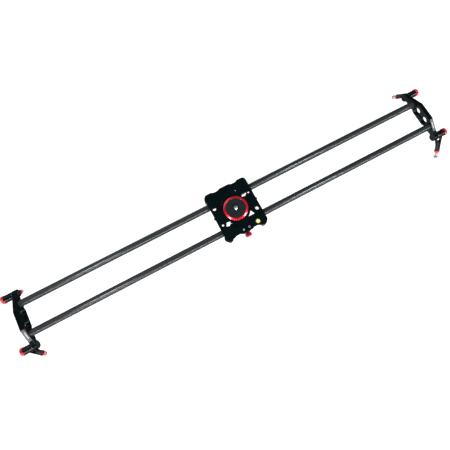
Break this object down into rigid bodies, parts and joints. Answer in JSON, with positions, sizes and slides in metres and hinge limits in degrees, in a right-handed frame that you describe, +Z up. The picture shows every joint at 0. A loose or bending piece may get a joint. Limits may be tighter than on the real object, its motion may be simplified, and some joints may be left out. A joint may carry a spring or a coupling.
{
  "type": "camera slider",
  "caption": "Camera slider: twin carbon tubes between arched end brackets, folding legs with screw feet, and a wheeled carriage with camera screw, rail brake and level.",
  "frame": {"origin": "on the surface that the feet stand on, straight below the camera screw with the carriage in mid-travel", "axes": "+X along the rails to the end with the longer-screwed feet, +Y across the rails away from the brake knob and the level, +Z up"},
  "size_m": [1.2598, 0.2331, 0.11],
  "materials": {
    "carbon_tube": "satin woven carbon fibre",
    "black_anodised": "black anodised",
    "red_anodised": "bright red anodised",
    "bright_steel": "bright zinc plated",
    "black_steel": "black oxide",
    "wheel_steel": "polished bearing steel",
    "black_plastic": "moulded black plastic",
    "black_rubber": "fine moulded rubber",
    "white_nylon": "natural nylon",
    "label_aluminium": "blank brushed plate",
    "level_liquid": "yellow-green liquid under clear acrylic"
  },
  "bodies": {
    "frame": {"rail_tube_far": "carbon_tube", "rail_tube_near": "carbon_tube", "rail_end_caps": "black_plastic", "end_bracket_left": "black_anodised", "end_bracket_right": "black_anodised", "tube_grub_screws": "black_steel", "label_plates": "label_aluminium", "leg_hinge_bolts": "black_steel", "leg_friction_washers": "white_nylon"},
    "carriage": {"carriage_plate": "black_anodised", "end_stop_bumpers": "black_rubber", "mount_ring": "red_anodised", "mount_disc": "black_anodised", "mount_pad": "black_rubber", "mount_screws": "black_steel", "level_housing": "black_plastic", "level_vial": "level_liquid", "wheel_bearings": "bright_steel", "wheel_spacers": "bright_steel", "eccentric_spacers": "bright_steel", "axle_washers": "bright_steel", "wheel_axle_bolts": "bright_steel", "brake_block": "black_anodised", "brake_block_screws": "bright_steel"},
    "wheel_left_near": {"guide_wheel_left_near": "wheel_steel"},
    "wheel_left_far": {"guide_wheel_left_far": "wheel_steel"},
    "wheel_right_near": {"guide_wheel_right_near": "wheel_steel"},
    "wheel_right_far": {"guide_wheel_right_far": "wheel_steel"},
    "camera_screw_body": {"camera_screw": "bright_steel", "camera_screw_clip": "black_steel", "camera_screw_knob": "black_plastic", "camera_knob_washer": "white_nylon"},
    "brake_knob_body": {"brake_knob": "red_anodised", "brake_screw": "bright_steel"},
    "brake_pad_body": {"brake_pad": "white_nylon"},
    "leg_left_near": {"leg_arm_left_near": "black_anodised"},
    "hinge_knob_left_near": {"lock_knob_left_near": "red_anodised"},
    "foot_ring_left_near": {"foot_lock_ring_left_near": "red_anodised"},
    "foot_left_near": {"foot_stud_left_near": "bright_steel", "foot_tip_left_near": "black_rubber"},
    "leg_left_far": {"leg_arm_left_far": "black_anodised"},
    "hinge_knob_left_far": {"lock_knob_left_far": "red_anodised"},
    "foot_ring_left_far": {"foot_lock_ring_left_far": "red_anodised"},
    "foot_left_far": {"foot_stud_left_far": "bright_steel", "foot_tip_left_far": "black_rubber"},
    "leg_right_near": {"leg_arm_right_near": "black_anodised"},
    "hinge_knob_right_near": {"lock_knob_right_near": "red_anodised"},
    "foot_ring_right_near": {"foot_lock_ring_right_near": "red_anodised"},
    "foot_right_near": {"foot_stud_right_near": "bright_steel", "foot_tip_right_near": "black_rubber"},
    "leg_right_far": {"leg_arm_right_far": "black_anodised"},
    "hinge_knob_right_far": {"lock_knob_right_far": "red_anodised"},
    "foot_ring_right_far": {"foot_lock_ring_right_far": "red_anodised"},
    "foot_right_far": {"foot_stud_right_far": "bright_steel", "foot_tip_right_far": "black_rubber"}
  },
  "joints": [
    {"name": "carriage_slide", "type": "slide", "parent": "frame", "child": "carriage", "axis": [1, 0, 0], "range_m": [-0.525, 0.525]},
    {"name": "wheel_spin_left_near", "type": "hinge", "parent": "carriage", "child": "wheel_left_near", "pos_m": [-0.0485, -0.057, 0.0765], "axis": [0, 0, 1], "continuous": true},
    {"name": "wheel_spin_left_far", "type": "hinge", "parent": "carriage", "child": "wheel_left_far", "pos_m": [-0.0485, 0.057, 0.0765], "axis": [0, 0, 1], "continuous": true},
    {"name": "wheel_spin_right_near", "type": "hinge", "parent": "carriage", "child": "wheel_right_near", "pos_m": [0.0485, -0.057, 0.0765], "axis": [0, 0, 1], "continuous": true},
    {"name": "wheel_spin_right_far", "type": "hinge", "parent": "carriage", "child": "wheel_right_far", "pos_m": [0.0485, 0.057, 0.0765], "axis": [0, 0, 1], "continuous": true},
    {"name": "camera_screw_turn", "type": "hinge", "parent": "carriage", "child": "camera_screw_body", "pos_m": [0, 0, 0.09], "axis": [0, 0, 1], "continuous": true},
    {"name": "brake_knob_turn", "type": "hinge", "parent": "carriage", "child": "brake_knob_body", "pos_m": [0, -0.07, 0.0765], "axis": [0, 1, 0], "range_deg": [-360, 144]},
    {"name": "brake_pad_press", "type": "slide", "parent": "carriage", "child": "brake_pad_body", "axis": [0, 1, 0], "range_m": [-0.001, 0.0004]},
    {"name": "leg_fold_left_near", "type": "hinge", "parent": "frame", "child": "leg_left_near", "pos_m": [-0.612, -0.0695, 0.066], "axis": [-1, 0, 0], "range_deg": [-50.75, 79.25]},
    {"name": "hinge_knob_turn_left_near", "type": "hinge", "parent": "frame", "child": "hinge_knob_left_near", "pos_m": [-0.6266, -0.0695, 0.066], "axis": [-1, 0, 0], "range_deg": [0, 720]},
    {"name": "foot_ring_turn_left_near", "type": "hinge", "parent": "leg_left_near", "child": "foot_ring_left_near", "pos_m": [-0.616, -0.08969, 0.0127], "axis": [0, -0.3543, -0.9351], "continuous": true},
    {"name": "foot_screw_left_near", "type": "slide", "parent": "leg_left_near", "child": "foot_left_near", "axis": [0, -0.3543, -0.9351], "range_m": [-0.00442, 0.01508]},
    {"name": "leg_fold_left_far", "type": "hinge", "parent": "frame", "child": "leg_left_far", "pos_m": [-0.612, 0.0695, 0.066], "axis": [1, 0, 0], "range_deg": [-46.2, 83.8]},
    {"name": "hinge_knob_turn_left_far", "type": "hinge", "parent": "frame", "child": "hinge_knob_left_far", "pos_m": [-0.6266, 0.0695, 0.066], "axis": [-1, 0, 0], "range_deg": [0, 720]},
    {"name": "foot_ring_turn_left_far", "type": "hinge", "parent": "leg_left_far", "child": "foot_ring_left_far", "pos_m": [-0.616, 0.0854, 0.01126], "axis": [0, 0.279, -0.9603], "continuous": true},
    {"name": "foot_screw_left_far", "type": "slide", "parent": "leg_left_far", "child": "foot_left_far", "axis": [0, 0.279, -0.9603], "range_m": [-0.00277, 0.01673]},
    {"name": "leg_fold_right_near", "type": "hinge", "parent": "frame", "child": "leg_right_near", "pos_m": [0.612, -0.0695, 0.066], "axis": [-1, 0, 0], "range_deg": [-67.4, 62.6]},
    {"name": "hinge_knob_turn_right_near", "type": "hinge", "parent": "frame", "child": "hinge_knob_right_near", "pos_m": [0.6266, -0.0695, 0.066], "axis": [1, 0, 0], "range_deg": [0, 720]},
    {"name": "foot_ring_turn_right_near", "type": "hinge", "parent": "leg_right_near", "child": "foot_ring_right_near", "pos_m": [0.616, -0.10412, 0.02072], "axis": [0, -0.6074, -0.7944], "continuous": true},
    {"name": "foot_screw_right_near", "type": "slide", "parent": "leg_right_near", "child": "foot_right_near", "axis": [0, -0.6074, -0.7944], "range_m": [-0.0156, 0.0039]},
    {"name": "leg_fold_right_far", "type": "hinge", "parent": "frame", "child": "leg_right_far", "pos_m": [0.612, 0.0695, 0.066], "axis": [1, 0, 0], "range_deg": [-60.7, 69.3]},
    {"name": "hinge_knob_turn_right_far", "type": "hinge", "parent": "frame", "child": "hinge_knob_right_far", "pos_m": [0.6266, 0.0695, 0.066], "axis": [1, 0, 0], "range_deg": [0, 720]},
    {"name": "foot_ring_turn_right_far", "type": "hinge", "parent": "leg_right_far", "child": "foot_ring_right_far", "pos_m": [0.616, 0.0986, 0.01699], "axis": [0, 0.5105, -0.8599], "continuous": true},
    {"name": "foot_screw_right_far", "type": "slide", "parent": "leg_right_far", "child": "foot_right_far", "axis": [0, 0.5105, -0.8599], "range_m": [-0.00995, 0.00955]}
  ],
  "couplings": [
    {"joint": "wheel_spin_left_near", "follows": "carriage_slide", "rad_per_m": 111.11},
    {"joint": "wheel_spin_left_far", "follows": "carriage_slide", "rad_per_m": -111.11},
    {"joint": "wheel_spin_right_near", "follows": "carriage_slide", "rad_per_m": 111.11},
    {"joint": "wheel_spin_right_far", "follows": "carriage_slide", "rad_per_m": -111.11},
    {"joint": "brake_pad_press", "follows": "brake_knob_turn", "m_per_rad": 0.00015915}
  ]
}
